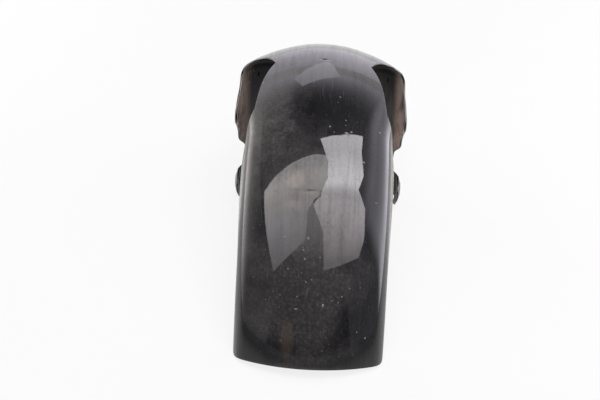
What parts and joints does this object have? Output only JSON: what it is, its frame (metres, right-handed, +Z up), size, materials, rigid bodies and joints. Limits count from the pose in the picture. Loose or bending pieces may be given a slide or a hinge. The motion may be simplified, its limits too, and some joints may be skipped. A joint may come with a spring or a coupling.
{
  "type": "motorcycle front mudguard",
  "caption": "Moulded front mudguard that arches over a motorcycle's front wheel and bolts between the two fork legs.",
  "frame": {"origin": "centre of the bounding box at ground level, with the part standing on its two lower lugs and on the corners of its rear blade", "axes": "+X to the rider's right, +Y forward in the direction of travel, +Z up; the part is symmetric about the plane X = 0"},
  "size_m": [0.228, 0.5432, 0.2308],
  "materials": {
    "shell": "gloss black moulded plastic, dusty and scuffed, brownish dust inside"
  },
  "bodies": {
    "root": {"mudguard": "shell"}
  },
  "joints": []
}
